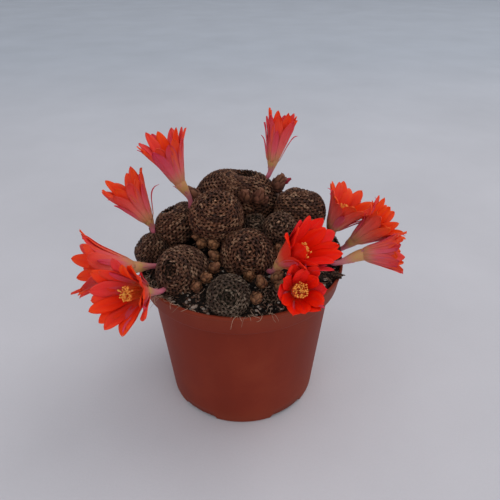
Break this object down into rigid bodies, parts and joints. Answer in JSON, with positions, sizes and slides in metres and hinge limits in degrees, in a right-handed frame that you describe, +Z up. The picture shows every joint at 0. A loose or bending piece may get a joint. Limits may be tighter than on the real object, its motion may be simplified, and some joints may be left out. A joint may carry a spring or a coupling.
{
  "type": "potted round cactus",
  "caption": "Clump of small round comb-spined cactus stems with red-orange funnel flowers and brown buds, in gritty soil in a tapered terracotta-coloured plastic pot.",
  "frame": {"origin": "centre of the pot's underside, on the table", "axes": "+Z up along the pot's axis; the front of the plant faces -Y"},
  "size_m": [0.1563, 0.1118, 0.1413],
  "materials": {
    "pot_plastic": "matt terracotta-coloured moulded plastic",
    "soil_grit": "dark gritty potting soil",
    "stem_spines": "plant flesh under close rows of short brown comb spines",
    "bud_scales": "dry papery bud scales",
    "tube_skin": "satin plant skin, pink",
    "petal_skin": "satin petals, orange-red",
    "stamen_pollen": "yellow pollen on fine threads"
  },
  "bodies": {
    "root": {"pot": "pot_plastic", "soil": "soil_grit", "stem_01": "stem_spines", "stem_02": "stem_spines", "stem_03": "stem_spines", "stem_04": "stem_spines", "stem_05": "stem_spines", "stem_06": "stem_spines", "stem_07": "stem_spines", "stem_08": "stem_spines", "stem_09": "stem_spines", "stem_10": "stem_spines", "stem_11": "stem_spines", "stem_12": "stem_spines", "stem_13": "stem_spines", "stem_14": "stem_spines", "stem_15": "stem_spines", "flower_01_tube": "tube_skin", "flower_01_petals": "petal_skin", "flower_01_stamens": "stamen_pollen", "flower_02_tube": "tube_skin", "flower_02_petals": "petal_skin", "flower_02_stamens": "stamen_pollen", "flower_03_tube": "tube_skin", "flower_03_petals": "petal_skin", "flower_03_stamens": "stamen_pollen", "flower_04_tube": "tube_skin", "flower_04_petals": "petal_skin", "flower_04_stamens": "stamen_pollen", "flower_05_tube": "tube_skin", "flower_05_petals": "petal_skin", "flower_05_stamens": "stamen_pollen", "flower_06_tube": "tube_skin", "flower_06_petals": "petal_skin", "flower_06_stamens": "stamen_pollen", "flower_07_tube": "tube_skin", "flower_07_petals": "petal_skin", "flower_07_stamens": "stamen_pollen", "flower_08_tube": "tube_skin", "flower_08_petals": "petal_skin", "flower_08_stamens": "stamen_pollen", "flower_09_tube": "tube_skin", "flower_09_petals": "petal_skin", "flower_09_stamens": "stamen_pollen", "flower_10_tube": "tube_skin", "flower_10_petals": "petal_skin", "flower_10_stamens": "stamen_pollen", "bud_01": "bud_scales", "bud_02": "bud_scales", "bud_03": "bud_scales", "bud_04": "bud_scales", "bud_05": "bud_scales", "bud_06": "bud_scales", "bud_07": "bud_scales", "bud_08": "bud_scales", "bud_09": "bud_scales", "bud_10": "bud_scales", "bud_11": "bud_scales", "bud_12": "bud_scales", "bud_13": "bud_scales"}
  },
  "joints": []
}
